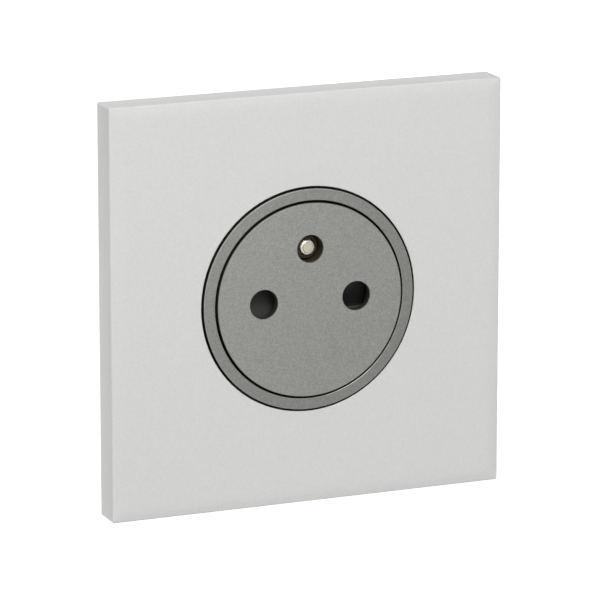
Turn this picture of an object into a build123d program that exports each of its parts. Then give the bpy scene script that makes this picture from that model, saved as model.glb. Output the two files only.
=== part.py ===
from build123d import *
import os
from collections import namedtuple
from math import asin, cos, degrees, radians, sin, sqrt

# Flush wall socket. X runs to the right seen from the room, Y into the wall, Z up.
# The origin is the centre of the wall's surface behind the cover plate. Lengths are millimetres.

# Cover plate
PLATE_SIDE = 80.0
PLATE_WALL = 2.4
PLATE_HOLLOW = 4.1
PLATE_SKIRT = 2.2
PLATE_CORNER_RADIUS = 0.35
PLATE_EDGE_RADIUS = 0.25
OPENING_EDGE_RADIUS = 0.1
PLATE_CROWN_WIDTH = 2.8
PLATE_CROWN_DROP = 0.28
PLATE_CROWN_STEPS = 6
PLATE_RIB_THICKNESS = 1.2
PLATE_RIB_LENGTH = 7.0
PLATE_RIB_OFFSET = 9.5

# Trim ring
RING_BORE_RADIUS = 19.3
RING_TUBE_WALL = 1.2
RING_LIP_OVERHANG = 1.0
RING_LIP_THICKNESS = 1.5
RING_NECK_STEP = 0.4
RING_SPIGOT = 3.0
RING_PROUD = 0.5
RING_GAP = 0.45
RING_EDGE_RADIUS = 0.15
RING_FALL = 0.2
BEAD_HEIGHT = 0.35
BEAD_WIDTH = 1.0

# Sliding face and its back plate
FACE_GAP = 0.45
FACE_PROUD = 0.3
FACE_WALL = 1.5
FACE_SKIRT = 1.5
FACE_FLANGE = 1.4
FACE_TRAVEL = 15.0
FACE_EDGE_RADIUS = 0.15
BACK_PLATE_THICKNESS = 2.3
FACE_BOSS_WALL = 1.2
POST_BLEND = 0.4

# Pin positions of the plug
PIN_PITCH = 19.0
PIN_HOLE_RADIUS = 2.8
PIN_HOLE_EDGE_RADIUS = 0.15
EARTH_OFFSET = 10.0
EARTH_PIN_RADIUS = 2.4
EARTH_HOLE_CLEARANCE = 0.24
EARTH_TIP_RECESS = 1.2
EARTH_TIP_RADIUS = 1.35
EARTH_TIP_LENGTH = 1.4
EARTH_TIP_EDGE_RADIUS = 0.3
EARTH_COLLAR_RADIUS = 3.6
EARTH_COLLAR_THICKNESS = 1.5
EARTH_TAIL_RADIUS = 1.5
EARTH_RIVET_RADIUS = 2.2
EARTH_RIVET_HEIGHT = 0.6

# Shutter
SHUTTER_PLAY = 0.15
SHUTTER_OVERLAP = 0.6
SHUTTER_OPEN_MARGIN = 2.0
SHUTTER_HUB_RADIUS = 4.2
SHUTTER_PIVOT_RADIUS = 1.5
SHUTTER_RUNNING_FIT = 0.08
SHUTTER_RAMP_START = 0.5
SHUTTER_RAMP_MARGIN = 2.35
SHUTTER_WEB = 0.9
SHUTTER_LIP_DEPTH = 1.4
SHUTTER_LIP_OFFSET = 2.75
SHUTTER_STOP_GAP = 0.3
SHUTTER_SPRING_WIRE = 0.35
SHUTTER_SPRING_RADIUS = 2.3
SHUTTER_SPRING_TURNS = 4.5
SHUTTER_SPRING_LENGTH = 2.5
SHUTTER_SPRING_LEG = 3.0
SHUTTER_SPRING_ROOM = 0.25
SHUTTER_SPRING_LEG_INSET = 0.09

# Return springs of the face
SPRING_WIRE = 0.45
SPRING_COIL_RADIUS = 1.9
SPRING_TURNS = 11
SPRING_ROOM = 0.35
SPRING_TUBE_WALL = 1.2
SPRING_SEAT_DEPTH = 1.0
SPRING_POST_HEIGHT = 2.0
SPRING_POST_ROOM = 0.3

# Housing, contact base and rear cover
HOUSING_WALL = 1.9
HOUSING_CORNER = 2.5
HOUSING_CORNER_RADIUS = 1.2
FLANGE_WIDTH = 2.1
FLANGE_THICKNESS = 1.5
FLOOR_THICKNESS = 1.8
CHAMBER_DEPTH = 10.5
BARRIER_THICKNESS = 1.2
BASE_STEP = 0.4
HOOK_HEIGHT = 1.0
HOOK_LENGTH = 2.6
HOOK_WIDTH = 9.0
COVER_THICKNESS = 2.2
COVER_RIM_DEPTH = 1.2
COVER_RIM_WALL = 1.0
PAD_MARGIN = 0.9
PAD_HEIGHT = 0.8
PAD_CORNER_RADIUS = 1.0
PANEL_WIDTH = 15.0
PANEL_DEPTH = 0.5
PANEL_MARGIN = 4.0
LABEL_LENGTH = 16.0
LABEL_WIDTH = 6.0
LABEL_DEPTH = 0.4
LABEL_CORNER_RADIUS = 0.75
GAUGE_LENGTH = 11.0
GAUGE_WIDTH = 2.0
GAUGE_DEPTH = 0.6
GAUGE_CORNER_RADIUS = 0.5

# Support frame
FRAME_THICKNESS = 1.2
FRAME_MARGIN = 2.3
FRAME_CORNER_RADIUS = 4.0
FRAME_RIM_HEIGHT = 1.6
FRAME_RIM_LENGTH = 40.0
BEAD_SLOT_LENGTH = 15.0
BEAD_SLOT_WIDTH = 3.0
BEAD_SLOT_DEPTH = 0.5
BEAD_SLOT_OFFSET = 9.0
FIXING_PITCH = 60.0
SLOT_LENGTH = 7.6
SLOT_WIDTH = 4.2
EAR_WIDTH = 8.0
EAR_OFFSET = 20.0
BARB_HEIGHT = 0.6
BARB_LENGTH = 1.2

# Contacts, terminals and release buttons
CONTACT_STRIP = 0.8
CONTACT_WIDTH = 6.4
CONTACT_PINCH = 0.3
CONTACT_FLARE = 1.0
CONTACT_MOUTH = 2.4
GRIP_THICKNESS = 0.4
GRIP_LENGTH = 3.0
GRIP_SLIT = 1.6
BEND_RADIUS = 0.9
EARTH_TERMINAL_OFFSET = 3.2
EARTH_CLAMP_GAP = 0.9
CLAMP_STRIP = 0.4
CLAMP_SETBACK = 0.2
CLAMP_SLIT = 0.6
CLAMP_DEPTH = 6.2
CLAMP_GAP = 2.0
CLAMP_LOOP = 1.8
CLAMP_BEND_RADIUS = 0.6
WIRE_RADIUS = 1.5
WIRE_GAP = 0.3
WIRE_FUNNEL = 0.4
BUTTON_WIDTH = 2.4
BUTTON_HEIGHT = 3.2
BUTTON_FLANGE = 0.4
BUTTON_FLANGE_THICKNESS = 0.9
BUTTON_PROUD = 1.6
BUTTON_NOSE_GAP = 0.4

# Screws
COVER_SCREW_RADIUS = 1.2
COVER_SCREW_HEAD_RADIUS = 2.4
COVER_SCREW_HEAD_HEIGHT = 1.4
COVER_SCREW_BOSS_WALL = 1.2
COVER_SCREW_LENGTH = 7.0
COVER_SCREW_HEIGHT = 4.0
FACE_SCREW_RADIUS = 0.8
FACE_SCREW_HEAD_RADIUS = 1.4
FACE_SCREW_HEAD_HEIGHT = 0.8
FACE_SCREW_LENGTH = 3.6
FACE_SCREW_BOSS_WALL = 1.6
COVER_SCREW_EDGE_RADIUS = 0.7
RECESS_SHARE = 0.6
RECESS_SLOT_SHARE = 0.33

# Clearances
SEAT = 0.1
RUN = 0.3
FIT = 0.15
SCREW_FIT = 0.05

# Nearness by which an edge is found
MATCH = 1e-4

# Stations along Y, from the room to the back
plate_front = -PLATE_HOLLOW - PLATE_WALL
plate_inner = -PLATE_HOLLOW
ring_front = plate_front - RING_PROUD
face_front = ring_front - FACE_PROUD
lip_rear = ring_front + RING_LIP_THICKNESS
frame_front = -FRAME_THICKNESS
flange_front = frame_front - FLANGE_THICKNESS
collar_front = plate_inner + RUN
ring_rear = collar_front + RING_SPIGOT
face_inner = face_front + FACE_WALL
face_flange_front = ring_rear + SEAT
face_rear = face_flange_front + FACE_FLANGE
back_front = face_rear - BACK_PLATE_THICKNESS
floor_front = face_rear + FACE_TRAVEL + RUN
floor_rear = floor_front + FLOOR_THICKNESS
cover_front = floor_rear + CHAMBER_DEPTH
cover_rear = cover_front + COVER_THICKNESS
face_screw_seat = face_rear - FACE_SCREW_HEAD_HEIGHT - SEAT
face_screw_tip = face_screw_seat - FACE_SCREW_LENGTH
shutter_front = face_inner + SHUTTER_PLAY
shutter_rear = back_front - SHUTTER_PLAY
shutter_spring_rear = back_front + SHUTTER_SPRING_WIRE
shutter_spring_front = shutter_spring_rear - SHUTTER_SPRING_LENGTH
earth_tip = face_front + EARTH_TIP_RECESS
earth_collar_rear = floor_rear + EARTH_COLLAR_THICKNESS
spring_seat = floor_front + SPRING_SEAT_DEPTH
contact_front = floor_rear + RUN
contact_rear = cover_front - COVER_RIM_DEPTH

# Radii and half widths
plate_half = PLATE_SIDE / 2
skirt_half = plate_half - PLATE_SKIRT
ring_tube_radius = RING_BORE_RADIUS + RING_TUBE_WALL
ring_lip_radius = ring_tube_radius + RING_LIP_OVERHANG
opening_radius = ring_lip_radius + RING_GAP
well_radius = ring_tube_radius + SEAT
face_radius = RING_BORE_RADIUS - FACE_GAP
cup_radius = face_radius - FACE_SKIRT
face_flange_radius = well_radius - RUN
bay_radius = well_radius + BASE_STEP
base_radius = bay_radius - SEAT
body_half = well_radius + HOUSING_WALL
body_corner = body_half + HOUSING_CORNER
frame_half = skirt_half - FRAME_MARGIN
pin_x = PIN_PITCH / 2
earth_hole_radius = EARTH_PIN_RADIUS + EARTH_HOLE_CLEARANCE
shutter_spring_room = SHUTTER_SPRING_RADIUS + SHUTTER_SPRING_WIRE / 2 + SHUTTER_SPRING_ROOM
spring_pocket_radius = SPRING_COIL_RADIUS + SPRING_WIRE / 2 + SPRING_ROOM
spring_tube_radius = spring_pocket_radius + SPRING_TUBE_WALL
face_boss_radius = FACE_SCREW_RADIUS + FACE_SCREW_BOSS_WALL
cover_boss_radius = COVER_SCREW_RADIUS + COVER_SCREW_BOSS_WALL
wire_shift = BUTTON_WIDTH / 2 + FIT + WIRE_GAP + WIRE_FUNNEL + WIRE_RADIUS
terminal_width = 2 * (wire_shift + WIRE_RADIUS)
clamp_width = terminal_width - 2 * CLAMP_SETBACK
barrier_x = pin_x - terminal_width / 2 - RUN - BARRIER_THICKNESS / 2

# The shutter's wings cover the pin holes at rest; posts of the face stop them at both ends of their turn
wing_half_angle = degrees(asin((PIN_HOLE_RADIUS + SHUTTER_OVERLAP) / pin_x))
hole_half_angle = degrees(asin(PIN_HOLE_RADIUS / pin_x))
shutter_open = wing_half_angle + hole_half_angle + SHUTTER_OPEN_MARGIN
wing_radius = pin_x + PIN_HOLE_RADIUS + SHUTTER_OVERLAP
spring_circle = cup_radius - spring_tube_radius + POST_BLEND
screw_circle = cup_radius - face_boss_radius + POST_BLEND
spring_stop = degrees(asin((spring_tube_radius + SHUTTER_STOP_GAP) / spring_circle))
spring_angle = 180 - wing_half_angle - spring_stop
screw_stop = degrees(asin((face_boss_radius + SHUTTER_STOP_GAP) / screw_circle))
screw_angle = wing_half_angle + shutter_open + screw_stop


def around(radius, angle):
    """Two opposite points (x, z) on a circle about the socket's axis."""
    return [(radius * cos(radians(a)), radius * sin(radians(a))) for a in (angle, angle + 180)]


spring_places = around(spring_circle, spring_angle)
face_screw_places = around(screw_circle, screw_angle)
cover_screw_x = sqrt((base_radius - cover_boss_radius - RUN) ** 2 - COVER_SCREW_HEIGHT ** 2)
cover_screw_places = [(side * cover_screw_x, COVER_SCREW_HEIGHT) for side in (-1, 1)]
pin_places = [(-pin_x, 0), (pin_x, 0)]


# Push-in terminals: middle, height of the strip, the way out from the strip to the clamp, and its depth
Terminal = namedtuple("Terminal", "x strip out depth")
earth_strip = EARTH_OFFSET + EARTH_TERMINAL_OFFSET
earth_depth = sqrt(base_radius ** 2 - (clamp_width / 2) ** 2) - earth_strip - EARTH_CLAMP_GAP
pole_strip = sqrt(base_radius ** 2 - (pin_x + clamp_width / 2) ** 2) - CLAMP_DEPTH - CLAMP_GAP
terminals = {
    "line": Terminal(pin_x, -pole_strip, -1, CLAMP_DEPTH),
    "neutral": Terminal(-pin_x, -pole_strip, -1, CLAMP_DEPTH),
    "earth": Terminal(0, earth_strip, 1, earth_depth),
}


def wire_places(t):
    height = t.strip + t.out * (CONTACT_STRIP / 2 + WIRE_RADIUS)
    return [(t.x - wire_shift, height), (t.x + wire_shift, height)]


def button_place(t):
    return (t.x, t.strip + t.out * (CONTACT_STRIP / 2 + FIT + BUTTON_HEIGHT / 2))


# Helpers

def at_depth(sketch, depth):
    """Place a sketch drawn in X and Z at a depth, facing the room."""
    return Plane((0, depth, 0), x_dir=(1, 0, 0), z_dir=(0, -1, 0)) * sketch


def along_y(sketch, front, rear):
    """Extrude a sketch drawn in X and Z from one depth to another."""
    return extrude(at_depth(sketch, rear), amount=rear - front)


def rods(places, radius, front, rear):
    """Round bars along Y at each (x, z) place."""
    return Part() + [along_y(Pos(x, z) * Circle(radius), front, rear) for x, z in places]


def edges_at(piece, depth):
    """Edges of a piece that lie at one depth."""
    return piece.edges().filter_by(lambda edge: abs(edge.center().Y - depth) < MATCH)


def turned(points):
    """Revolve an outline of (radius, depth) points about Y."""
    return revolve(make_face(Polyline(*points, close=True)), axis=Axis.Y)


def along_x(outline, width, middle):
    """Extrude a face drawn in Y and Z to a width about one X."""
    return extrude(Plane.YZ.offset(middle) * outline, amount=width / 2, both=True)


def bent_strip(points, thickness, width, middle, radius=BEND_RADIUS):
    """Sheet metal bent along (depth, height) points."""
    bends = [Vector(*point) for point in points]
    for end, neighbour in ((0, 1), (-1, -2)):
        bends[end] += (bends[neighbour] - bends[end]).normalized() * thickness / 2
    path = FilletPolyline(*bends, radius=radius)
    return along_x(make_face(offset(path, thickness / 2, kind=Kind.INTERSECTION)), width, middle)


def octagon(half, corner, radius=HOUSING_CORNER_RADIUS):
    """Square of half width with its corners cut off at a distance from the middle."""
    cut = corner * sqrt(2) - half
    points = [(half, cut), (cut, half), (-cut, half), (-half, cut)]
    points += [(-x, -z) for x, z in points]
    return fillet(Polygon(*points, align=None).vertices(), radius)


def coil(x, z, front, rear, radius, wire, turns):
    """Helical spring along Y whose wire lies between two depths."""
    length = rear - front - wire
    path = Helix(length / turns, length, radius, center=(x, front + wire / 2, z), direction=(0, 1, 0))
    section = Plane(path @ 0, z_dir=path % 0) * Circle(wire / 2)
    return sweep(section, path=path, is_frenet=True)


def cross_recess(x, z, size, surface, depth):
    """Two crossed slots sunk into the rear of a screw head whose radius is the size."""
    length = 2 * size * RECESS_SHARE
    slot = size * RECESS_SLOT_SHARE
    cross = Rectangle(length, slot) + Rectangle(slot, length)
    return along_y(Pos(x, z) * cross, surface - depth, surface)


# Front pieces

def make_cover_plate():
    crown_rear = plate_front + PLATE_CROWN_DROP
    plate = along_y(RectangleRounded(PLATE_SIDE, PLATE_SIDE, PLATE_CORNER_RADIUS), crown_rear, 0)
    sections = []
    for step in range(PLATE_CROWN_STEPS + 1):
        share = step / PLATE_CROWN_STEPS
        side = PLATE_SIDE - 2 * PLATE_CROWN_WIDTH * share
        depth = plate_front + PLATE_CROWN_DROP * (1 - share) ** 2
        sections.append(at_depth(RectangleRounded(side, side, PLATE_CORNER_RADIUS), depth))
    plate += loft(sections, ruled=True)
    plate = fillet(edges_at(plate, crown_rear), PLATE_EDGE_RADIUS)
    plate -= along_y(Rectangle(2 * skirt_half, 2 * skirt_half), plate_inner, 0)
    plate -= along_y(Circle(opening_radius), plate_front, plate_inner)
    circles = edges_at(plate, plate_front).filter_by(GeomType.CIRCLE)
    opening = circles.filter_by(lambda edge: edge.radius > PLATE_CORNER_RADIUS)
    plate = fillet(opening, OPENING_EDGE_RADIUS)
    rib_rear = frame_front - max(FLANGE_THICKNESS, FRAME_RIM_HEIGHT) - RUN
    rib = Pos(skirt_half - PLATE_RIB_LENGTH / 2, 0) * Rectangle(PLATE_RIB_LENGTH, PLATE_RIB_THICKNESS)
    pair = Pos(0, PLATE_RIB_OFFSET) * rib + Pos(0, -PLATE_RIB_OFFSET) * rib
    for quarter in range(4):
        plate += along_y(Rot(Z=90 * quarter) * pair, plate_inner, rib_rear)
    collar_inner = body_half + FLANGE_WIDTH
    collar = Circle(collar_inner + PLATE_RIB_THICKNESS) - Circle(collar_inner)
    plate += along_y(collar, plate_inner, rib_rear)
    ridge_inner = frame_half + FIT
    ridge = Pos((ridge_inner + skirt_half) / 2, 0) * Rectangle(skirt_half - ridge_inner, EAR_WIDTH)
    ridge_front = plate_inner + SEAT + 2 * FIT + BARB_LENGTH
    for side in (-1, 1):
        for z in (-EAR_OFFSET, EAR_OFFSET):
            plate += along_y(Rot(Z=90 - 90 * side) * Pos(0, z) * ridge, ridge_front, frame_front)
    return plate


def make_trim_ring():
    neck = ring_lip_radius - RING_NECK_STEP
    bead_front = collar_front + (RING_SPIGOT - BEAD_WIDTH) / 2
    ring = turned([
        (RING_BORE_RADIUS, ring_front),
        (ring_lip_radius, ring_front + RING_FALL),
        (ring_lip_radius, lip_rear),
        (neck, lip_rear),
        (neck, collar_front),
        (ring_tube_radius, collar_front),
        (ring_tube_radius, bead_front),
        (ring_tube_radius + BEAD_HEIGHT, bead_front + BEAD_WIDTH / 2),
        (ring_tube_radius, bead_front + BEAD_WIDTH),
        (ring_tube_radius, ring_rear),
        (RING_BORE_RADIUS, ring_rear),
    ])
    rims = edges_at(ring, ring_front) + edges_at(ring, ring_front + RING_FALL)
    return fillet(rims, RING_EDGE_RADIUS)


def make_sliding_face():
    face = along_y(Circle(face_radius), face_front, face_rear)
    face = fillet(edges_at(face, face_front), FACE_EDGE_RADIUS)
    face -= along_y(Circle(cup_radius), face_inner, face_rear)
    flange = Circle(face_flange_radius) - Circle(face_radius - SEAT)
    face += along_y(flange, face_flange_front, face_rear)
    face += rods([(0, EARTH_OFFSET)], earth_hole_radius + FACE_BOSS_WALL, face_inner, back_front)
    face += rods(spring_places, spring_tube_radius, face_inner, back_front)
    face += rods(face_screw_places, face_boss_radius, face_inner, back_front)
    face += rods([(0, 0)], SHUTTER_PIVOT_RADIUS, face_inner, face_rear - SEAT)
    face -= rods(spring_places, spring_pocket_radius, face_inner, back_front)
    face -= rods(face_screw_places, FACE_SCREW_RADIUS + SCREW_FIT, face_screw_tip - SEAT, back_front)
    face -= rods(pin_places, PIN_HOLE_RADIUS, face_front, face_inner)
    face -= rods([(0, EARTH_OFFSET)], earth_hole_radius, face_front, back_front)
    circles = edges_at(face, face_front).filter_by(GeomType.CIRCLE)
    holes = circles.filter_by(lambda edge: edge.radius < EARTH_OFFSET)
    return fillet(holes, PIN_HOLE_EDGE_RADIUS)


def make_face_back_plate():
    plate = along_y(Circle(cup_radius - SEAT), back_front, face_rear)
    plate -= rods(pin_places, PIN_HOLE_RADIUS, back_front, face_rear)
    plate -= rods([(0, EARTH_OFFSET)], earth_hole_radius, back_front, face_rear)
    plate -= rods(spring_places, spring_pocket_radius, back_front, face_rear)
    plate -= rods([(0, 0)], SHUTTER_PIVOT_RADIUS + SCREW_FIT, back_front, face_rear)
    plate -= rods(face_screw_places, FACE_SCREW_RADIUS + SCREW_FIT, back_front, face_rear)
    plate -= rods(face_screw_places, FACE_SCREW_HEAD_RADIUS + SEAT, face_screw_seat, face_rear)
    plate -= rods([(0, 0)], shutter_spring_room, back_front, back_front + SHUTTER_SPRING_WIRE + SEAT)
    groove = Pos(0, -SHUTTER_SPRING_RADIUS - SHUTTER_SPRING_LEG / 2)
    groove *= Rectangle(2 * SHUTTER_SPRING_WIRE, SHUTTER_SPRING_LEG + 2 * SHUTTER_SPRING_WIRE)
    plate -= along_y(groove, back_front, back_front + SHUTTER_SPRING_WIRE + SEAT)
    return plate


def make_face_screws():
    head_rear = face_rear - SEAT
    depth = FACE_SCREW_HEAD_HEIGHT * RECESS_SHARE
    screws = []
    for place in face_screw_places:
        screw = rods([place], FACE_SCREW_HEAD_RADIUS, face_screw_seat, head_rear)
        screw += rods([place], FACE_SCREW_RADIUS, face_screw_tip, face_screw_seat)
        recess = cross_recess(*place, FACE_SCREW_HEAD_RADIUS, head_rear, depth)
        screws.append(screw - recess)
    return screws


# Shutter and springs

def make_shutter():
    reach = wing_radius * 2
    edge = reach * sin(radians(wing_half_angle)) / cos(radians(wing_half_angle))
    wedge = Polygon((0, 0), (reach, edge), (reach, -edge), align=None)
    wing = along_y(Circle(wing_radius) & wedge, shutter_front, shutter_rear)
    top = PIN_HOLE_RADIUS + SHUTTER_RAMP_MARGIN
    ramp = Polygon(
        (shutter_front - SHUTTER_PLAY, top),
        (shutter_front + SHUTTER_RAMP_START, top),
        (shutter_rear - SHUTTER_WEB, -SHUTTER_LIP_OFFSET),
        (shutter_front + SHUTTER_LIP_DEPTH, -SHUTTER_LIP_OFFSET),
        (shutter_front + SHUTTER_LIP_DEPTH, -top),
        (shutter_front - SHUTTER_PLAY, -top),
        align=None,
    )
    pocket_inner = pin_x - PIN_HOLE_RADIUS - SHUTTER_OVERLAP
    wing -= along_x(ramp, reach, pocket_inner + reach / 2)
    shutter = rods([(0, 0)], SHUTTER_HUB_RADIUS, shutter_front, shutter_rear)
    shutter += wing + Rot(Y=180) * wing
    shutter -= rods([(0, 0)], SHUTTER_PIVOT_RADIUS + SHUTTER_RUNNING_FIT, shutter_front, shutter_rear)
    recess_front = shutter_spring_front - SEAT
    shutter -= rods([(0, 0)], shutter_spring_room, recess_front, shutter_rear)
    slot_length = SHUTTER_SPRING_RADIUS + SHUTTER_SPRING_LEG + SHUTTER_SPRING_WIRE
    slot = Pos(0, slot_length / 2) * Rectangle(2 * SHUTTER_SPRING_WIRE, slot_length)
    return shutter - along_y(slot, recess_front, shutter_rear)


def make_shutter_spring():
    """Torsion spring about the pivot, with one leg in the shutter and one in the back plate's groove."""
    front = shutter_spring_front
    rear = shutter_spring_rear
    spring = coil(0, 0, front, rear, SHUTTER_SPRING_RADIUS, SHUTTER_SPRING_WIRE, SHUTTER_SPRING_TURNS)
    leg = Cylinder(SHUTTER_SPRING_WIRE / 2, SHUTTER_SPRING_LEG, align=(Align.CENTER, Align.CENTER, Align.MIN))
    spring += Pos(SHUTTER_SPRING_LEG_INSET, front + SHUTTER_SPRING_WIRE / 2, SHUTTER_SPRING_RADIUS) * leg
    leg_rear = Pos(SHUTTER_SPRING_LEG_INSET, rear - SHUTTER_SPRING_WIRE / 2, -SHUTTER_SPRING_RADIUS)
    spring += leg_rear * Rot(X=180) * leg
    return spring


def make_return_spring(place):
    return coil(*place, face_inner + SEAT, spring_seat - SEAT, SPRING_COIL_RADIUS, SPRING_WIRE, SPRING_TURNS)


# Housing, contact base, rear cover and support frame

def make_housing():
    housing = along_y(octagon(body_half, body_corner), frame_front, cover_front)
    flange = octagon(body_half + FLANGE_WIDTH, body_corner + FLANGE_WIDTH)
    housing += along_y(flange, flange_front, frame_front)
    housing += along_y(Circle(body_half), collar_front, flange_front)
    housing -= along_y(Circle(well_radius), collar_front, floor_front)
    housing -= along_y(Circle(bay_radius), floor_front, cover_front)
    groove_front = collar_front + (RING_SPIGOT - BEAD_WIDTH) / 2 - SEAT
    groove_rear = groove_front + BEAD_WIDTH + 2 * SEAT
    groove = Circle(well_radius + BEAD_HEIGHT + SEAT)
    housing -= along_y(groove, groove_front, groove_rear)
    panel = Pos(body_half - PANEL_DEPTH / 2, 0) * Rectangle(PANEL_DEPTH, PANEL_WIDTH)
    panel_front = SEAT + HOOK_LENGTH + PANEL_MARGIN
    for quarter in range(4):
        housing -= along_y(Rot(Z=90 * quarter) * panel, panel_front, cover_front - PANEL_MARGIN)
    hook_rear = SEAT + HOOK_LENGTH
    hook = Polygon((SEAT, body_half), (SEAT, body_half + HOOK_HEIGHT), (hook_rear, body_half), align=None)
    hook = along_x(hook, HOOK_WIDTH, 0)
    return housing + hook + Rot(Y=180) * hook


def make_contact_base():
    """Floor of the well, with the walls between the contacts and the bosses of the rear cover's screws."""
    base = along_y(Circle(base_radius), floor_front, floor_rear)
    base -= rods(pin_places, PIN_HOLE_RADIUS + RUN, floor_front, floor_rear)
    base -= rods([(0, EARTH_OFFSET)], EARTH_PIN_RADIUS + SCREW_FIT, floor_front, floor_rear)
    base -= rods(spring_places, spring_pocket_radius, floor_front, spring_seat)
    post_radius = SPRING_COIL_RADIUS - SPRING_WIRE / 2 - SPRING_POST_ROOM
    base += rods(spring_places, post_radius, spring_seat - SPRING_POST_HEIGHT, spring_seat)
    base += rods(cover_screw_places, cover_boss_radius, floor_rear, cover_front)
    pilot_front = cover_rear - COVER_SCREW_LENGTH - SEAT
    base -= rods(cover_screw_places, COVER_SCREW_RADIUS + SCREW_FIT, pilot_front, cover_front)
    barrier_rear = cover_front - COVER_RIM_DEPTH - RUN
    barrier_top = EARTH_OFFSET - EARTH_COLLAR_RADIUS - RUN - BARRIER_THICKNESS
    barrier_bottom = -pole_strip - CLAMP_DEPTH
    upright = Rectangle(BARRIER_THICKNESS, barrier_top - barrier_bottom)
    for side in (-1, 1):
        wall = Pos(side * barrier_x, (barrier_top + barrier_bottom) / 2) * upright
        base += along_y(wall, floor_rear, barrier_rear)
    lintel = Rectangle(2 * barrier_x + BARRIER_THICKNESS, BARRIER_THICKNESS)
    base += along_y(Pos(0, barrier_top + BARRIER_THICKNESS / 2) * lintel, floor_rear, barrier_rear)
    for t in terminals.values():
        shelf_z = t.strip + t.out * (t.depth + CLAMP_STRIP / 2 + SEAT + BARRIER_THICKNESS / 2)
        shelf = Pos(t.x, shelf_z) * Rectangle(clamp_width, BARRIER_THICKNESS)
        base += along_y(shelf & Circle(base_radius), floor_rear, barrier_rear)
    return base


def make_rear_cover():
    cover = along_y(octagon(body_half, body_corner), cover_front, cover_rear)
    rim = Circle(bay_radius - FIT) - Circle(bay_radius - FIT - COVER_RIM_WALL)
    cover += along_y(rim, cover_front - COVER_RIM_DEPTH, cover_front)
    cover -= rods(cover_screw_places, cover_boss_radius + RUN, cover_front - COVER_RIM_DEPTH, cover_front)
    cover -= rods(cover_screw_places, COVER_SCREW_RADIUS + FIT, cover_front, cover_rear)
    pad_rear = cover_rear + PAD_HEIGHT
    pad_width = 2 * (wire_shift + WIRE_RADIUS + PAD_MARGIN)
    pad_height = 2 * (BUTTON_HEIGHT / 2 + PAD_MARGIN)
    pad = RectangleRounded(pad_width, pad_height, PAD_CORNER_RADIUS)
    window = Rectangle(BUTTON_WIDTH + 2 * FIT, BUTTON_HEIGHT + 2 * FIT)
    for t in terminals.values():
        cover += along_y(Pos(*button_place(t)) * pad, cover_rear, pad_rear)
        cover -= along_y(Pos(*button_place(t)) * window, cover_front, pad_rear)
        cover -= rods(wire_places(t), WIRE_RADIUS, cover_front, pad_rear)
    circles = edges_at(cover, pad_rear).filter_by(GeomType.CIRCLE)
    mouths = circles.filter_by(lambda edge: abs(edge.radius - WIRE_RADIUS) < MATCH)
    cover = chamfer(mouths, WIRE_FUNNEL)
    gauge_z = 2 * HOUSING_WALL + GAUGE_WIDTH / 2 - body_half
    gauge = Pos(0, gauge_z) * RectangleRounded(GAUGE_LENGTH, GAUGE_WIDTH, GAUGE_CORNER_RADIUS)
    cover -= along_y(gauge, cover_rear - GAUGE_DEPTH, cover_rear)
    label = Pos(0, COVER_SCREW_HEIGHT) * RectangleRounded(LABEL_LENGTH, LABEL_WIDTH, LABEL_CORNER_RADIUS)
    return cover - along_y(label, cover_rear - LABEL_DEPTH, cover_rear)


def make_rear_cover_screws():
    head_rear = cover_rear + COVER_SCREW_HEAD_HEIGHT
    depth = COVER_SCREW_HEAD_HEIGHT * RECESS_SHARE
    screws = []
    for place in cover_screw_places:
        screw = rods([place], COVER_SCREW_HEAD_RADIUS, cover_rear, head_rear)
        screw = fillet(edges_at(screw, head_rear), COVER_SCREW_EDGE_RADIUS)
        screw += rods([place], COVER_SCREW_RADIUS, cover_rear - COVER_SCREW_LENGTH, cover_rear)
        recess = cross_recess(*place, COVER_SCREW_HEAD_RADIUS, head_rear, depth)
        screws.append(screw - recess)
    return screws


def make_support_frame():
    frame = along_y(RectangleRounded(2 * frame_half, 2 * frame_half, FRAME_CORNER_RADIUS), frame_front, 0)
    frame -= along_y(octagon(body_half + FIT, body_corner + FIT), frame_front, 0)
    slot = SlotOverall(SLOT_LENGTH, SLOT_WIDTH)
    for quarter in range(4):
        frame -= along_y(Rot(Z=90 * quarter) * Pos(FIXING_PITCH / 2, 0) * slot, frame_front, 0)
    bead = SlotOverall(BEAD_SLOT_LENGTH, BEAD_SLOT_WIDTH, 90)
    bead = Pos(body_corner + FLANGE_WIDTH + BEAD_SLOT_OFFSET, 0) * bead
    for quarter in range(4):
        corner_bead = Rot(Z=45 + 90 * quarter) * bead
        frame += along_y(corner_bead, frame_front - BEAD_SLOT_DEPTH, frame_front)
        frame -= along_y(corner_bead, -BEAD_SLOT_DEPTH, 0)
    rim = Pos(0, frame_half - FRAME_THICKNESS / 2) * Rectangle(FRAME_RIM_LENGTH, FRAME_THICKNESS)
    ear_front = plate_inner + SEAT
    ear = Pos(frame_half - FRAME_THICKNESS / 2, 0) * Rectangle(FRAME_THICKNESS, EAR_WIDTH)
    barb = Polygon(
        (ear_front, frame_half),
        (ear_front + BARB_LENGTH, frame_half + BARB_HEIGHT),
        (ear_front + BARB_LENGTH, frame_half),
        align=None,
    )
    barb = Rot(Y=90) * along_x(barb, EAR_WIDTH, 0)
    for side in (-1, 1):
        turn = 90 - 90 * side
        frame += along_y(Rot(Z=turn) * rim, frame_front - FRAME_RIM_HEIGHT, frame_front)
        for z in (-EAR_OFFSET, EAR_OFFSET):
            frame += along_y(Rot(Z=turn) * Pos(0, z) * ear, ear_front, frame_front)
            frame += Rot(Y=turn) * Pos(0, 0, z) * barb
    return frame


# Contacts, terminals and release buttons

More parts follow.
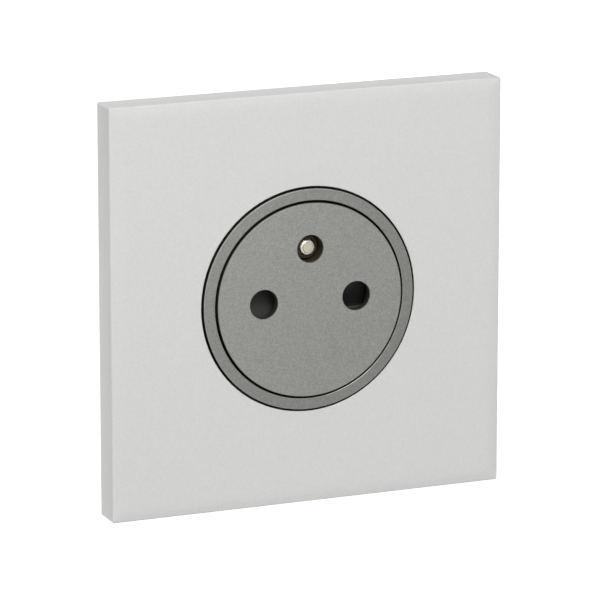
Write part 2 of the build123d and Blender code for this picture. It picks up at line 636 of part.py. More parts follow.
def make_contact(t):
    """Two leaves that grip a plug's pin, and the wider strip that two wires are clamped against."""
    leaf = EARTH_PIN_RADIUS - CONTACT_PINCH + CONTACT_STRIP / 2
    throat = contact_front + CONTACT_MOUTH
    base = contact_rear - CONTACT_STRIP / 2
    flare = leaf + CONTACT_FLARE
    clip = [(contact_front, flare), (throat, leaf), (base, leaf), (base, -leaf), (throat, -leaf)]
    clip.append((contact_front, -flare))
    strip = [(base, 0), (base, t.strip), (throat, t.strip)]
    contact = bent_strip(clip, CONTACT_STRIP, CONTACT_WIDTH, t.x)
    return contact + bent_strip(strip, CONTACT_STRIP, terminal_width, t.x)


def make_contact_grip(t):
    """Steel band around a contact's leaves, slit on one side."""
    inner_height = 2 * (EARTH_PIN_RADIUS - CONTACT_PINCH + CONTACT_STRIP + SCREW_FIT)
    inner_width = CONTACT_WIDTH + 2 * SCREW_FIT
    band = Rectangle(inner_width + 2 * GRIP_THICKNESS, inner_height + 2 * GRIP_THICKNESS)
    band -= Rectangle(inner_width, inner_height)
    band -= Pos(inner_width / 2, 0) * Rectangle(inner_width / 2, GRIP_SLIT)
    front = contact_front + CONTACT_MOUTH + BEND_RADIUS
    return along_y(Pos(t.x, 0) * band, front, front + GRIP_LENGTH)


def make_earth_pin():
    pin = turned([
        (0, earth_tip),
        (EARTH_TIP_RADIUS, earth_tip),
        (EARTH_PIN_RADIUS, earth_tip + EARTH_TIP_LENGTH),
        (EARTH_PIN_RADIUS, floor_rear),
        (EARTH_COLLAR_RADIUS, floor_rear),
        (EARTH_COLLAR_RADIUS, earth_collar_rear),
        (EARTH_TAIL_RADIUS, earth_collar_rear),
        (EARTH_TAIL_RADIUS, earth_collar_rear + CONTACT_STRIP),
        (EARTH_RIVET_RADIUS, earth_collar_rear + CONTACT_STRIP),
        (EARTH_TAIL_RADIUS, earth_collar_rear + CONTACT_STRIP + EARTH_RIVET_HEIGHT),
        (0, earth_collar_rear + CONTACT_STRIP + EARTH_RIVET_HEIGHT),
    ])
    rims = edges_at(pin, earth_tip) + edges_at(pin, earth_tip + EARTH_TIP_LENGTH)
    return Pos(0, 0, EARTH_OFFSET) * fillet(rims, EARTH_TIP_EDGE_RADIUS)


def make_earth_bar(t):
    front = earth_collar_rear + CONTACT_STRIP / 2
    path = [(front, EARTH_OFFSET - EARTH_COLLAR_RADIUS), (front, t.strip), (contact_rear, t.strip)]
    bar = bent_strip(path, CONTACT_STRIP, terminal_width, t.x)
    tail = EARTH_TAIL_RADIUS + SCREW_FIT
    return bar - rods([(0, EARTH_OFFSET)], tail, earth_collar_rear, earth_collar_rear + CONTACT_STRIP)


def clamp_slope(t):
    """Leaf of a clamp spring as two (depth, height) points: at its loop and at its tip on the strip."""
    loop = (contact_rear - CLAMP_STRIP, t.strip + t.out * (t.depth - CLAMP_LOOP))
    gap = CONTACT_STRIP / 2 + CLAMP_STRIP / 2 + SEAT
    tip = (earth_collar_rear + CONTACT_MOUTH, t.strip + t.out * gap)
    return loop, tip


def make_clamp_spring(t):
    loop, tip = clamp_slope(t)
    foot = t.strip + t.out * t.depth
    points = [(earth_collar_rear, foot), (loop[0], foot), loop, tip]
    spring = bent_strip(points, CLAMP_STRIP, clamp_width, t.x, radius=CLAMP_BEND_RADIUS)
    slit_height = abs(loop[1] - t.strip)
    slit = Pos(t.x, (loop[1] + t.strip) / 2) * Rectangle(CLAMP_SLIT, slit_height)
    return spring - along_y(slit, earth_collar_rear, loop[0] - CLAMP_LOOP)


def make_release_button(t):
    x, middle = button_place(t)
    near = middle - t.out * BUTTON_HEIGHT / 2
    far = middle + t.out * BUTTON_HEIGHT / 2
    loop, tip = clamp_slope(t)
    slope = (loop[0] - tip[0]) / (loop[1] - tip[1])
    reach = CLAMP_STRIP + BUTTON_NOSE_GAP
    nose = [(loop[0] + (z - loop[1]) * slope + reach, z) for z in (near, far)]
    rear = cover_rear + BUTTON_PROUD
    button = along_x(Polygon((rear, near), nose[0], nose[1], (rear, far), align=None), BUTTON_WIDTH, x)
    flange_rear = cover_front - SEAT
    flange = Rectangle(BUTTON_WIDTH + 2 * BUTTON_FLANGE, BUTTON_HEIGHT)
    return button + along_y(Pos(x, middle) * flange, flange_rear - BUTTON_FLANGE_THICKNESS, flange_rear)


# Every piece by its node's name

pieces = {
    "cover_plate": make_cover_plate(),
    "trim_ring": make_trim_ring(),
    "sliding_face": make_sliding_face(),
    "face_back_plate": make_face_back_plate(),
    "face_screws": make_face_screws(),
    "shutter": make_shutter(),
    "shutter_spring": make_shutter_spring(),
    "return_spring_left": make_return_spring(spring_places[0]),
    "return_spring_right": make_return_spring(spring_places[1]),
    "housing": make_housing(),
    "contact_base": make_contact_base(),
    "rear_cover": make_rear_cover(),
    "rear_cover_screws": make_rear_cover_screws(),
    "support_frame": make_support_frame(),
    "earth_pin": make_earth_pin(),
    "earth_bar": make_earth_bar(terminals["earth"]),
}
for pole in ("line", "neutral"):
    pieces[pole + "_contact"] = make_contact(terminals[pole])
    pieces[pole + "_contact_grip"] = make_contact_grip(terminals[pole])
for pole, place in terminals.items():
    pieces[pole + "_clamp_spring"] = make_clamp_spring(place)
    pieces[pole + "_release_button"] = make_release_button(place)

os.makedirs("parts", exist_ok=True)
for name, piece in pieces.items():
    solids = piece if isinstance(piece, list) else [piece]
    shape = Compound(children=solids) if len(solids) > 1 else solids[0]
    export_step(shape, f"parts/{name}.step")
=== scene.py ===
import math

import bpy
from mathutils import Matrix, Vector


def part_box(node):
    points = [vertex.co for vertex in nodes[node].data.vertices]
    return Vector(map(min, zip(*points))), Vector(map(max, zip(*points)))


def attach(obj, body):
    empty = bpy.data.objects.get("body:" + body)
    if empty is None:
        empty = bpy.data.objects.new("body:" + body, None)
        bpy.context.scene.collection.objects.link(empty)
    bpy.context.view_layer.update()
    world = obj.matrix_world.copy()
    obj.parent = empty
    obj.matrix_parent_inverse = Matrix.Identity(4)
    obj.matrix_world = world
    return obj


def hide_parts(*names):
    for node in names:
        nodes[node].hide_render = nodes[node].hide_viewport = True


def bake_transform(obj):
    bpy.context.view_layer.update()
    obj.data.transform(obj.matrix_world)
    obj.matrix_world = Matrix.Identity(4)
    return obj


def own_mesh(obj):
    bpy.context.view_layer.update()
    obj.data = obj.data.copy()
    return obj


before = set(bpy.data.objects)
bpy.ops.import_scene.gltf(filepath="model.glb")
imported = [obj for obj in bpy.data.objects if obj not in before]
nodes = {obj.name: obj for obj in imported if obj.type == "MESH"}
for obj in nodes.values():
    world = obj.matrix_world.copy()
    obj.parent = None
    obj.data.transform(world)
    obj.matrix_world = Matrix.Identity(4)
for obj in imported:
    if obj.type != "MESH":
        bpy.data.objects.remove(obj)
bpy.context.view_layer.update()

# Flush wall socket: materials for the imported solids, springs, studio light and camera.
# X runs to the right seen from the room, Y into the wall, Z up. Lengths are metres.
# A pair of numbers in a material is the start and the end of a change.

MM = 0.001
scene = bpy.context.scene


# Node helpers

NOISE_RANGE = (0.3, 0.7)
BEVEL_SAMPLES = 6
EDGE_AGREEMENT = (0.75, 0.99)
EARTH_Z = 10 * MM


def add(tree, kind, inputs=None, **settings):
    """A shader node with its settings, and its inputs given as values or as sockets to link."""
    made = tree.nodes.new("ShaderNode" + kind)
    for key, value in settings.items():
        setattr(made, key, value)
    for socket, value in (inputs or {}).items():
        if isinstance(value, bpy.types.NodeSocket):
            tree.links.new(value, made.inputs[socket])
        else:
            made.inputs[socket].default_value = value
    return made


def calc(tree, operation, *values):
    """The result of a Math node."""
    return add(tree, "Math", dict(enumerate(values)), operation=operation).outputs[0]


def vector_calc(tree, operation, *values):
    """The outputs of a Vector Math node, which are called Vector and Value."""
    return add(tree, "VectorMath", dict(enumerate(values)), operation=operation).outputs


def plus(tree, a, b):
    return calc(tree, "ADD", a, b)


def times(tree, product, *factors):
    for factor in factors:
        product = calc(tree, "MULTIPLY", product, factor)
    return product


def scaled(tree, colour, shade):
    """A colour or another vector times a number."""
    return add(tree, "VectorMath", {0: colour, "Scale": shade}, operation="SCALE").outputs["Vector"]


def mix(tree, share, a, b):
    """Colour a where share is zero, colour b where it is one."""
    a, b = [(*colour, 1) if isinstance(colour, tuple) else colour for colour in (a, b)]
    return add(tree, "Mix", {"Factor": share, "A": a, "B": b}, data_type="RGBA").outputs["Result"]


def noise(tree, place, size, detail=2.0, roughness=0.5):
    """Noise whose features have a size in metres."""
    inputs = {"Vector": place, "Scale": 1 / size, "Detail": detail, "Roughness": roughness}
    return add(tree, "TexNoise", inputs).outputs["Fac"]


def cells(tree, place, size, channel):
    """One random value from zero to one for each cell of a size in metres."""
    colour = add(tree, "TexVoronoi", {"Vector": place, "Scale": 1 / size}).outputs["Color"]
    return add(tree, "SeparateColor", {"Color": colour}).outputs[channel]


def ramp(tree, value, start, end, low=0.0, high=1.0):
    """Low up to start, high from end on, and a straight change between them."""
    inputs = {"Value": value, "From Min": start, "From Max": end, "To Min": low, "To Max": high}
    return add(tree, "MapRange", inputs).outputs["Result"]


def falling(tree, value, start, end):
    """One up to start, zero from end on."""
    return ramp(tree, value, start, end, low=1.0, high=0.0)


def shade_at(tree, mask, shade):
    """One where the mask is zero, shade where it is one."""
    return ramp(tree, mask, 0, 1, low=1.0, high=shade)


def varied(tree, value, middle, reach, start=NOISE_RANGE[0], end=NOISE_RANGE[1]):
    """A value's usual range as middle plus or minus reach."""
    return ramp(tree, value, start, end, middle - reach, middle + reach)


def own_place(tree):
    """Each surface point in its object's coordinates."""
    return add(tree, "TexCoord").outputs["Object"]


def split(tree, place):
    """The X, Y and Z of a place."""
    return add(tree, "SeparateXYZ", {"Vector": place}).outputs


def off_axis(tree, place):
    """The distance of a place from the axis that runs into the wall."""
    flat = vector_calc(tree, "MULTIPLY", place, (1, 0, 1))["Vector"]
    return vector_calc(tree, "LENGTH", flat)["Value"]


def from_earth(tree, place):
    """A place as seen from the earth pin's axis."""
    return vector_calc(tree, "SUBTRACT", place, (0, 0, EARTH_Z))["Vector"]


def normal(tree):
    return add(tree, "NewGeometry").outputs["Normal"]


def rounded(tree, radius):
    """The normal of a surface whose edges have a radius."""
    return add(tree, "Bevel", {"Radius": radius}, samples=BEVEL_SAMPLES).outputs["Normal"]


def facing_room(tree):
    """One where the surface faces the room, zero on walls that run into it."""
    return vector_calc(tree, "DOT_PRODUCT", normal(tree), (0, -1, 0))["Value"]


def edge_mask(tree, radius):
    """One at outer and inner edges, zero on flats."""
    agreement = vector_calc(tree, "DOT_PRODUCT", rounded(tree, radius), normal(tree))["Value"]
    return falling(tree, agreement, *EDGE_AGREEMENT)


def front_of(node):
    """The Y of a node's front, in the node's own coordinates."""
    front = Vector((0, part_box(node)[0][1], 0))
    return (nodes[node].matrix_world.inverted() @ front).y


def begin(name, metallic=0.0, specular=0.5):
    """A new material, its tree and its main shader."""
    material = bpy.data.materials.new(name)
    material.use_nodes = True
    tree = material.node_tree
    shader = tree.nodes["Principled BSDF"]
    shader.inputs["Metallic"].default_value = metallic
    shader.inputs["Specular IOR Level"].default_value = specular
    return material, tree, shader


def paint(tree, shader, colour):
    tree.links.new(colour, shader.inputs["Base Color"])


def roughen(tree, shader, value):
    tree.links.new(value, shader.inputs["Roughness"])


def bump(tree, shader, height, distance, round_edges=0.0):
    """Fine relief, with the edges rounded where a radius is given."""
    inputs = {"Height": height, "Distance": distance}
    if round_edges:
        inputs["Normal"] = rounded(tree, round_edges)
    tree.links.new(add(tree, "Bump", inputs).outputs["Normal"], shader.inputs["Normal"])


# Moulded plastic

EDGE_GLOSS = 0.08


def moulded(name, colour, round_edges, roughness=0.45, mottle=0.02, grain=0.02,
            grain_size=0.25 * MM, grain_depth=0.004 * MM, worn=0.05):
    """Moulded plastic: faint flow mottling, a fine spark-eroded grain and slightly polished edges."""
    material, tree, shader = begin(name)
    place = own_place(tree)
    flow = noise(tree, place, size=14 * MM, detail=3)
    speck = noise(tree, place, size=grain_size, roughness=0.6)
    wear = noise(tree, place, size=6 * MM, detail=4)
    edges = edge_mask(tree, radius=0.15 * MM)
    shade = times(
        tree,
        varied(tree, flow, middle=1.0, reach=mottle),
        varied(tree, speck, middle=1.0, reach=grain),
        shade_at(tree, edges, 1 + worn),
    )
    paint(tree, shader, scaled(tree, colour, shade))
    rub = varied(tree, wear, middle=roughness, reach=0.05)
    roughen(tree, shader, plus(tree, rub, times(tree, edges, -EDGE_GLOSS)))
    bump(tree, shader, speck, grain_depth, round_edges)
    return material


# Cover plate

# Bare black plastic, which also serves as painted shade on walls in gaps and holes.
BARE_AND_SHADE_BLACK = (0.020, 0.019, 0.017)
BARE_ROUGHNESS = 0.3
PLATE_ROUGHNESS = 0.42
PLATE_SIDE_Y = (-6.2 * MM, -0.5 * MM)
PLATE_SIDE_PAINTED_SHADE = (-0.04, 0.06)
SIDE_FACING = (0.2, 0.6)
OPENING_RADIUS = 21.95 * MM
OPENING_WALL = (OPENING_RADIUS + 0.02 * MM, OPENING_RADIUS + 0.1 * MM)
OPENING_WALL_Y = (-6.4 * MM, -6.2 * MM)


def satin_plate(name, colour):
    """Satin plate: fine grain, painted shade that makes its sides darker towards the room than towards the wall,
    and a dark wall in its opening that is bare plastic and painted shade in the gap.
    """
    material, tree, shader = begin(name)
    place = own_place(tree)
    y = split(tree, place)["Y"]
    flow = noise(tree, place, size=16 * MM, detail=3)
    speck = noise(tree, place, size=0.42 * MM, roughness=0.6)
    wear = noise(tree, place, size=6 * MM, detail=4)
    edges = edge_mask(tree, radius=0.1 * MM)
    # Painted shade: the plate's sides are darker towards the room and paler towards the wall.
    side = falling(tree, facing_room(tree), *SIDE_FACING)
    painted_side_shade = ramp(tree, y, *PLATE_SIDE_Y, *PLATE_SIDE_PAINTED_SHADE)
    shade = times(
        tree,
        varied(tree, flow, middle=1.0, reach=0.003),
        varied(tree, speck, middle=1.0, reach=0.03),
        shade_at(tree, edges, 1.02),
        plus(tree, times(tree, side, painted_side_shade), 1.0),
    )
    # The opening's wall is bare black plastic, and this black is also painted shade in the gap round the ring.
    inside = falling(tree, off_axis(tree, place), *OPENING_WALL)
    bare_shaded_wall = times(tree, inside, ramp(tree, y, *OPENING_WALL_Y))
    paint(tree, shader, mix(tree, bare_shaded_wall, scaled(tree, colour, shade), BARE_AND_SHADE_BLACK))
    rub = varied(tree, wear, middle=PLATE_ROUGHNESS, reach=0.02)
    roughen(tree, shader, plus(tree, rub, times(tree, bare_shaded_wall, BARE_ROUGHNESS)))
    bump(tree, shader, speck, distance=0.004 * MM)
    return material


# Lacquer of the ring and the face

PIN_HOLE_X = 9.5 * MM
PIN_HOLE_RIM = (3.0 * MM, 3.2 * MM)
PIN_HOLE_BARE_AND_SHADE = (0.025, 0.024, 0.020)
EARTH_HOLE_RIM = (2.9 * MM, 3.1 * MM)
EARTH_HOLE_BARE_AND_SHADE = (0.030, 0.025, 0.014)
LACQUER_ROUGHNESS = 0.42
FLAKE_SIZE = 0.16 * MM
FLAKE_CONTRAST = 0.19
FLAKE_METALLIC = 0.45
PAINTED_LIGHT_RANGE = (-20 * MM, 20 * MM)
ROUNDED_FACING = (0.88, 0.985)
OUTER_EDGE = (20 * MM, 21 * MM)
RIM_PAINTED_SHADE = 0.5
DULL_ROUGHNESS = 0.3


def flake_lacquer(name, node, colour, painted_edge_light, gloss, gloss_loss=0.0, painted_light_tilt=(-0.9, 0.8),
                  fall=0.0, fall_radii=(0.0, 1.0), coat_depth=(0.14 * MM, 0.3 * MM)):
    """Grey lacquer with fine metal flakes on the front of a node, over bare black plastic that is also painted
    shade on the walls of gaps and holes.
    The front may fall between two radii. Painted light makes the lacquer paler towards one side and darker
    towards the other.
    Rounded edges carry a painted highlight, which turns to painted shade where its share is below zero, and are
    smoother by gloss, less gloss_loss at the outer edge."""
    material, tree, shader = begin(name)
    place = own_place(tree)
    xyz = split(tree, place)
    radius = off_axis(tree, place)

    depth = plus(tree, xyz["Y"], -front_of(node))
    depth = plus(tree, depth, ramp(tree, radius, *fall_radii, low=0.0, high=-fall))
    # Behind the coat depth the lacquer gives way to bare plastic, which is also painted shade on the walls of
    # gaps and holes.
    coat = falling(tree, depth, *coat_depth)
    near_earth = falling(tree, off_axis(tree, from_earth(tree, place)), *EARTH_HOLE_RIM)
    across = plus(tree, calc(tree, "ABSOLUTE", xyz["X"]), -PIN_HOLE_X)
    from_hole = add(tree, "CombineXYZ", {"X": across, "Z": xyz["Z"]}).outputs["Vector"]
    near_hole = falling(tree, off_axis(tree, from_hole), *PIN_HOLE_RIM)
    edge = times(tree, coat, falling(tree, facing_room(tree), *ROUNDED_FACING))
    # Painted shade: the rounded rims of the holes are darkened, which hides their highlights.
    shaded_rim = times(tree, edge, plus(tree, near_earth, near_hole))

    flake = cells(tree, place, size=FLAKE_SIZE, channel="Red")
    cloud = noise(tree, place, size=0.4 * MM, detail=3, roughness=0.6)
    patch = noise(tree, place, size=10 * MM)
    # Painted light: the lacquer is paler towards one side and darker towards the other.
    side = plus(tree, times(tree, xyz["X"], painted_light_tilt[0]), times(tree, xyz["Z"], painted_light_tilt[1]))
    shade = times(
        tree,
        varied(tree, flake, middle=1.0, reach=FLAKE_CONTRAST, start=0, end=1),
        varied(tree, cloud, middle=1.0, reach=0.035),
        varied(tree, patch, middle=1.0, reach=0.007),
        varied(tree, side, 1.0, 0.055, *PAINTED_LIGHT_RANGE),
        # Painted highlight on rounded edges, painted shade where the share is below zero.
        shade_at(tree, edge, 1 + painted_edge_light),
        shade_at(tree, shaded_rim, RIM_PAINTED_SHADE),
    )
    bare_and_shade = mix(tree, near_earth, BARE_AND_SHADE_BLACK, EARTH_HOLE_BARE_AND_SHADE)
    bare_and_shade = mix(tree, near_hole, bare_and_shade, PIN_HOLE_BARE_AND_SHADE)
    paint(tree, shader, mix(tree, coat, bare_and_shade, scaled(tree, colour, shade)))
    tree.links.new(times(tree, coat, FLAKE_METALLIC), shader.inputs["Metallic"])

    rub = varied(tree, flake, middle=LACQUER_ROUGHNESS, reach=0.08, start=0, end=1)
    rub = plus(tree, rub, times(tree, shaded_rim, DULL_ROUGHNESS))
    smoothing = ramp(tree, radius, *OUTER_EDGE, low=-gloss, high=gloss_loss - gloss)
    roughen(tree, shader, plus(tree, rub, times(tree, edge, smoothing)))
    bump(tree, shader, cloud, distance=0.006 * MM)
    return material


# Metal

ZINC_ROUGHNESS = (0.35, 0.45)
ZINC_SHADE = (0.86, 1.1)
ZINC_WARP = 1.2 * MM
STAIN_ROUGHNESS = 0.1
CLEAN_GLOSS = 0.05
OPEN_SKY = (0.45, 0.9)
SKY_SAMPLES = 8


def galvanised(name, colour):
    """Zinc-coated sheet: warped spangles, a fine mottling and paler sheared edges."""
    material, tree, shader = begin(name, metallic=1.0)
    place = own_place(tree)
    warp = scaled(tree, noise(tree, place, size=3 * MM), ZINC_WARP)
    warped = vector_calc(tree, "ADD", place, warp)["Vector"]
    spangle = cells(tree, warped, size=2.6 * MM, channel="Green")
    fine = noise(tree, place, size=0.35 * MM, detail=3, roughness=0.65)
    edges = edge_mask(tree, radius=0.12 * MM)
    shade = times(
        tree,
        ramp(tree, spangle, 0, 1, *ZINC_SHADE),
        varied(tree, fine, middle=1.0, reach=0.06),
        shade_at(tree, edges, 1.15),
    )
    paint(tree, shader, scaled(tree, colour, shade))
    rub = ramp(tree, spangle, 0, 1, *ZINC_ROUGHNESS)
    roughen(tree, shader, plus(tree, rub, varied(tree, fine, middle=0.0, reach=0.04)))
    bump(tree, shader, fine, distance=0.004 * MM, round_edges=0.15 * MM)
    return material


def plated(name, colour, roughness, stain=0.12, recess_shade_and_grime=0.35):
    """Drawn or plated metal with a light tarnish, and painted shade with some grime in its recesses."""
    material, tree, shader = begin(name, metallic=1.0)
    place = own_place(tree)
    cloud = noise(tree, place, size=2.5 * MM, detail=4, roughness=0.6)
    fine = noise(tree, place, size=0.12 * MM)
    edges = edge_mask(tree, radius=0.1 * MM)
    # Painted shade with grime: occluded recesses are darkened.
    sky = add(tree, "AmbientOcclusion", {"Distance": 0.8 * MM}, samples=SKY_SAMPLES).outputs["AO"]
    shade = times(
        tree,
        ramp(tree, cloud, *NOISE_RANGE, low=1 - stain, high=1.0),
        varied(tree, fine, middle=1.0, reach=0.03),
        shade_at(tree, edges, 1.1),
        ramp(tree, sky, *OPEN_SKY, low=1 - recess_shade_and_grime, high=1.0),
    )
    paint(tree, shader, scaled(tree, colour, shade))
    stained, clean = roughness + STAIN_ROUGHNESS, roughness - CLEAN_GLOSS
    roughen(tree, shader, ramp(tree, cloud, *NOISE_RANGE, low=stained, high=clean))
    bump(tree, shader, fine, distance=0.003 * MM, round_edges=0.1 * MM)
    return material


# Earth pin

GROOVE_RADIUS = 1.05 * MM
GROOVE_REACH = 0.08 * MM
GROOVE_STAIN_AND_SHADE = (0.7, 0.1)
GROOVE_SHADE_X = (-0.6 * MM, 0.4 * MM)
PIN_RIM = (GROOVE_RADIUS, GROOVE_RADIUS + 0.1 * MM)
PIN_FLANK = (1.65 * MM, 1.8 * MM)
PIN_ROUNDING = 0.95 * MM
TIP_ROUGHNESS = 0.22
RIM_ROUGHNESS = 0.16
FLANK_ROUGHNESS = 0.5
TURNING_MARKS = 0.25 * MM


def pin_metal(name, tip, rim, flank):
    """Turned pin: a plated flat tip with ring marks and a stained groove, darker on its left by painted shade,
    a rim that plugs have polished, and a duller flank behind it."""
    material, tree, shader = begin(name, metallic=1.0)
    place = own_place(tree)
    about = from_earth(tree, place)
    x = split(tree, about)["X"]
    radius = off_axis(tree, about)
    on_rim = ramp(tree, radius, *PIN_RIM)
    on_flank = ramp(tree, radius, *PIN_FLANK)
    groove = calc(tree, "COMPARE", radius, GROOVE_RADIUS, GROOVE_REACH)
    # The groove is stained all round, and painted shade makes it darker on its left.
    stain = times(tree, groove, ramp(tree, x, *GROOVE_SHADE_X, *GROOVE_STAIN_AND_SHADE))
    cloud = noise(tree, place, size=1.2 * MM, detail=4, roughness=0.6)
    fine = noise(tree, place, size=0.12 * MM)
    shade = times(
        tree,
        ramp(tree, cloud, *NOISE_RANGE, low=0.88, high=1.0),
        varied(tree, fine, middle=1.0, reach=0.04),
        shade_at(tree, stain, 0.0),
    )
    colour = mix(tree, on_flank, mix(tree, on_rim, tip, rim), flank)
    paint(tree, shader, scaled(tree, colour, shade))
    rub = ramp(tree, on_rim, 0, 1, TIP_ROUGHNESS, RIM_ROUGHNESS)
    rub = plus(tree, rub, times(tree, on_flank, FLANK_ROUGHNESS - RIM_ROUGHNESS))
    roughen(tree, shader, plus(tree, rub, varied(tree, cloud, middle=0.0, reach=0.04)))
    inputs = {"Vector": about, "Scale": 1 / TURNING_MARKS, "Distortion": 0.4}
    marks = add(tree, "TexWave", inputs, wave_type="RINGS", rings_direction="Y").outputs["Fac"]
    bump(tree, shader, plus(tree, fine, marks), distance=0.003 * MM, round_edges=PIN_ROUNDING)
    return material


# Shutter

SHUTTER_ROUGHNESS = 0.55
SHUTTER_SPECULAR = 0.35
LIP_DEPTH = 1.4 * MM
LIP_REACH = 0.08 * MM
LIP_SIDE = (-1.7 * MM, -1.6 * MM)


def shutter_plastic(name, colour, painted_light_lip_colour):
    """Black shutter: fine grain, and a lip a little behind its front that is painted paler as painted light."""
    material, tree, shader = begin(name, specular=SHUTTER_SPECULAR)
    place = own_place(tree)
    xyz = split(tree, place)
    depth = plus(tree, xyz["Y"], -front_of("shutter") - LIP_DEPTH)
    side = times(tree, xyz["Z"], calc(tree, "SIGN", xyz["X"]))
    # Painted light: the lip is painted paler than the rest of the shutter.
    lip = times(tree, calc(tree, "COMPARE", depth, 0.0, LIP_REACH), falling(tree, side, *LIP_SIDE))
    speck = noise(tree, place, size=0.25 * MM, roughness=0.6)
    patch = noise(tree, place, size=3 * MM, detail=3)
    wear = noise(tree, place, size=2 * MM, detail=3)
    edges = edge_mask(tree, radius=0.12 * MM)
    shade = times(
        tree,
        varied(tree, speck, middle=1.0, reach=0.05),
        varied(tree, patch, middle=1.0, reach=0.07),
        shade_at(tree, edges, 1.5),
    )
    paint(tree, shader, scaled(tree, mix(tree, lip, colour, painted_light_lip_colour), shade))
    roughen(tree, shader, varied(tree, wear, middle=SHUTTER_ROUGHNESS, reach=0.05))
    bump(tree, shader, speck, distance=0.004 * MM, round_edges=0.1 * MM)
    return material


# Materials of the pieces

SPARKED = {"grain_size": 0.4 * MM, "grain_depth": 0.02 * MM, "round_edges": 0.25 * MM}
RUBBED = {"worn": 0.2, "round_edges": 0.2 * MM}

cover_grey = satin_plate("cover_grey", (0.66, 0.66, 0.645))
ring_grey = flake_lacquer(
    "ring_grey", "trim_ring", (0.202, 0.204, 0.191), painted_edge_light=0.5, gloss=0.08, gloss_loss=0.25, painted_light_tilt=(-0.6, 1.1),
    fall=0.2 * MM, fall_radii=(19.3 * MM, 21.5 * MM), coat_depth=(0.08 * MM, 0.17 * MM),
)
face_grey = flake_lacquer("face_grey", "sliding_face", (0.251, 0.255, 0.236), painted_edge_light=-0.15, gloss=-0.15)
back_plate_grey = moulded("back_plate_grey", (0.16, 0.162, 0.165), round_edges=0.15 * MM)
shutter_black = shutter_plastic("shutter_black", (0.015, 0.0145, 0.0135), (0.05, 0.047, 0.034))
housing_black = moulded(
    "housing_black", (0.018, 0.018, 0.019), roughness=0.5, mottle=0.1, grain=0.22, worn=0.6, **SPARKED
)
rear_cover_grey = moulded(
    "rear_cover_grey", (0.070, 0.072, 0.075), roughness=0.48, mottle=0.07, grain=0.16, worn=0.3, **SPARKED
)
frame_steel = galvanised("frame_steel", (0.47, 0.48, 0.49))
screw_steel = plated("screw_steel", (0.50, 0.50, 0.48), roughness=0.28, recess_shade_and_grime=0.7)
spring_steel = plated("spring_steel", (0.42, 0.42, 0.43), roughness=0.3)
contact_brass = plated("contact_brass", (0.72, 0.52, 0.24), roughness=0.28, stain=0.25)
pin_nickel = pin_metal("pin_nickel", tip=(0.495, 0.458, 0.376), rim=(0.72, 0.68, 0.58), flank=(0.58, 0.50, 0.35))
button_brown = moulded("button_brown", (0.12, 0.045, 0.02), **RUBBED)
button_blue = moulded("button_blue", (0.02, 0.09, 0.3), **RUBBED)
button_green = moulded("button_green", (0.05, 0.2, 0.04), **RUBBED)

finishes = {
    "cover_plate": cover_grey,
    "trim_ring": ring_grey,
    "sliding_face": face_grey,
    "face_back_plate": back_plate_grey,
    "face_screws": screw_steel,
    "shutter": shutter_black,
    "housing": housing_black,
    "contact_base": housing_black,
    "rear_cover": rear_cover_grey,
    "rear_cover_screws": screw_steel,
    "support_frame": frame_steel,
    "earth_pin": pin_nickel,
    "earth_bar": contact_brass,
    "line_contact": contact_brass,
    "neutral_contact": contact_brass,
    "line_contact_grip": spring_steel,
    "neutral_contact_grip": spring_steel,
    "line_release_button": button_brown,
    "neutral_release_button": button_blue,
    "earth_release_button": button_green,
}
for name, material in finishes.items():
    mesh = nodes[name].data
    mesh.materials.clear()
    mesh.materials.append(material)


# Springs: wire coils for the return springs, and copies of the other spring meshes

SPRING_WIRE = 0.45 * MM
SPRING_TURNS = 11
STEPS_PER_TURN = 28
WIRE_SIDES = 12


def tube(name, points, radius, sides):
    """A round wire along points, closed at both ends."""
    tangents = []
    for i in range(len(points)):
        before = points[max(i - 1, 0)]
        after = points[min(i + 1, len(points) - 1)]
        tangents.append((after - before).normalized())
    side = tangents[0].orthogonal().normalized()
    verts = []
    for point, tangent in zip(points, tangents):
        side = (side - tangent * side.dot(tangent)).normalized()
        other = tangent.cross(side)
        for k in range(sides):
            angle = 2 * math.pi * k / sides
            verts.append(point + (side * math.cos(angle) + other * math.sin(angle)) * radius)
    faces = []
    for i in range(len(points) - 1):
        for k in range(sides):
            a = i * sides + k
            b = i * sides + (k + 1) % sides
            faces.append((a, b, b + sides, a + sides))
    faces.append(tuple(reversed(range(sides))))
    faces.append(tuple(range(len(verts) - sides, len(verts))))
    mesh = bpy.data.meshes.new(name)
    mesh.from_pydata([tuple(v) for v in verts], [], faces)
    mesh.polygons.foreach_set("use_smooth", [len(f) == 4 for f in faces])
    mesh.materials.append(spring_steel)
    piece = bpy.data.objects.new(name, mesh)
    scene.collection.objects.link(piece)
    return piece


def coil(low, high):
    """Points along a wire that fills a box with a coil, whose first and last turns are closed."""
    middle = (low + high) / 2
    radius = (high.x - low.x - SPRING_WIRE) / 2
    length = high.y - low.y - SPRING_WIRE
    steps = SPRING_TURNS * STEPS_PER_TURN
    points = []
    for i in range(steps + 1):
        turn = SPRING_TURNS * i / steps
        ends = min(turn, 1.0) + max(turn - (SPRING_TURNS - 1), 0.0)
        y = SPRING_WIRE * ends + (length - 2 * SPRING_WIRE) * (turn - ends) / (SPRING_TURNS - 2)
        angle = 2 * math.pi * turn
        points.append(Vector((middle.x + radius * math.cos(angle), low.y + SPRING_WIRE / 2 + y,
                              middle.z + radius * math.sin(angle))))
    return points


def copied(node, name):
    """A copy of a node's mesh, with its own data, in the place of the node."""
    piece = bpy.data.objects.new(name, nodes[node].data.copy())
    piece.matrix_world = nodes[node].matrix_world.copy()
    piece.data.materials.clear()
    piece.data.materials.append(spring_steel)
    scene.collection.objects.link(piece)
    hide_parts(node)
    return piece


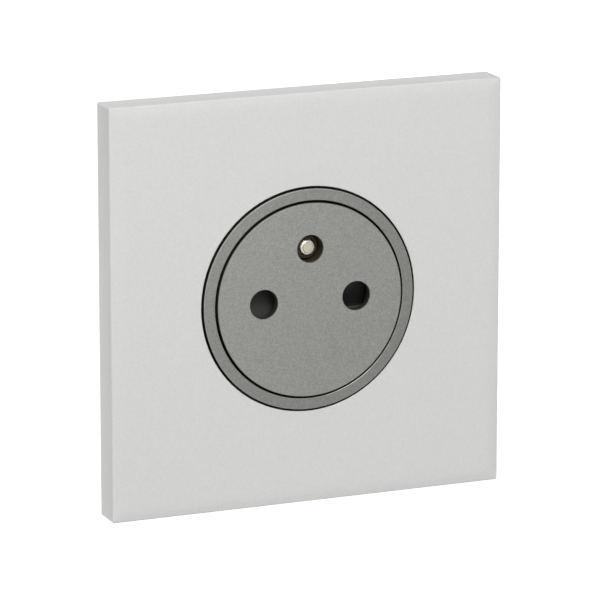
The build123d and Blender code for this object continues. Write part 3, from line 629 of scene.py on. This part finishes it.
for name in ("return_spring_left", "return_spring_right"):
    low, high = [Vector(corner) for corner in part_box(name)]
    spring = tube(name + "_wire", coil(low, high), SPRING_WIRE / 2, WIRE_SIDES)
    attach(spring, "base")
    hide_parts(name)
    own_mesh(spring)

low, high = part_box("shutter_spring")
winding = copied("shutter_spring", "shutter_spring_wire")
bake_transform(winding)

# The number is the end of its box that a clamp spring keeps in place: 0 the lower, 1 the upper. The loop copies
# each clamp spring to ride on the base and does not read the number.
for pole, foot in (("line", 0), ("neutral", 0), ("earth", 1)):
    node = pole + "_clamp_spring"
    clamp = copied(node, node + "_leaf")
    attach(clamp, "base")
    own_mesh(clamp)


# Floor and light

AMBIENT = 0.2
FLOOR_REACH = 6.0
FLOOR_Z = -0.25
FLOOR_GREY = 0.6
FLOOR_GLOW = 0.86
WHITE = (1, 1, 1, 1)


def light(name, place, size, power):
    """A round lamp that points at the socket."""
    lamp = bpy.data.lights.new(name, "AREA")
    lamp.shape = "DISK"
    lamp.size = size
    lamp.energy = power
    made = bpy.data.objects.new(name, lamp)
    made.location = place
    made.visible_camera = False
    made.rotation_euler = (-Vector(place)).to_track_quat("-Z", "Y").to_euler()
    scene.collection.objects.link(made)


def seen(tree):
    """One for rays that show the background: camera, glossy and transmission rays."""
    path = add(tree, "LightPath").outputs
    total = plus(tree, path["Is Camera Ray"], path["Is Glossy Ray"])
    return calc(tree, "MAXIMUM", total, path["Is Transmission Ray"])


light("key", place=(-0.13, -0.6, 0.66), size=0.4, power=5.5)
light("front", place=(-0.1, -1.25, 0.35), size=0.7, power=3.22)
light("left", place=(-0.8, -1.05, 0.03), size=0.3, power=0.9)
light("edge", place=(-0.28, 0.18, -0.05), size=0.1, power=0.238)
light("rear", place=(-0.8, 1.7, 0.9), size=1.2, power=6)
light("rear_fill", place=(1.1, 1.6, -0.1), size=0.3, power=6)

scene.view_settings.view_transform = "Standard"
scene.world = bpy.data.worlds.new("studio")
scene.world.use_nodes = True
tree = scene.world.node_tree
background = tree.nodes["Background"]
background.inputs["Color"].default_value = WHITE
tree.links.new(ramp(tree, seen(tree), 0, 1, low=AMBIENT, high=1.0), background.inputs["Strength"])

corners = [(x * FLOOR_REACH, y * FLOOR_REACH, FLOOR_Z) for x, y in ((-1, -1), (1, -1), (1, 1), (-1, 1))]
floor_mesh = bpy.data.meshes.new("floor")
floor_mesh.from_pydata(corners, [], [(0, 1, 2, 3)])
floor = bpy.data.objects.new("floor", floor_mesh)
scene.collection.objects.link(floor)
floor_white, tree, shader = begin("floor_white", specular=0.0)
shader.inputs["Base Color"].default_value = (FLOOR_GREY, FLOOR_GREY, FLOOR_GREY, 1)
shader.inputs["Roughness"].default_value = 1.0
shader.inputs["Emission Color"].default_value = WHITE
tree.links.new(times(tree, seen(tree), FLOOR_GLOW), shader.inputs["Emission Strength"])
floor_mesh.materials.append(floor_white)


# Camera at the photograph's viewing angle

CAMERA_PLACE = (-0.32522, -0.78144, 0.20354)
CAMERA_TURN = math.radians(22.653)
CAMERA_TILT = math.radians(13.624)
SENSOR_WIDTH = 36.0
FOCAL_LENGTH = 272.89

looking = Vector((
    math.sin(CAMERA_TURN) * math.cos(CAMERA_TILT),
    math.cos(CAMERA_TURN) * math.cos(CAMERA_TILT),
    -math.sin(CAMERA_TILT),
))
camera = bpy.data.objects.new("camera", bpy.data.cameras.new("camera"))
camera.location = CAMERA_PLACE
camera.rotation_euler = looking.to_track_quat("-Z", "Y").to_euler()
camera.data.sensor_width = SENSOR_WIDTH
camera.data.lens = FOCAL_LENGTH
scene.collection.objects.link(camera)
scene.camera = camera
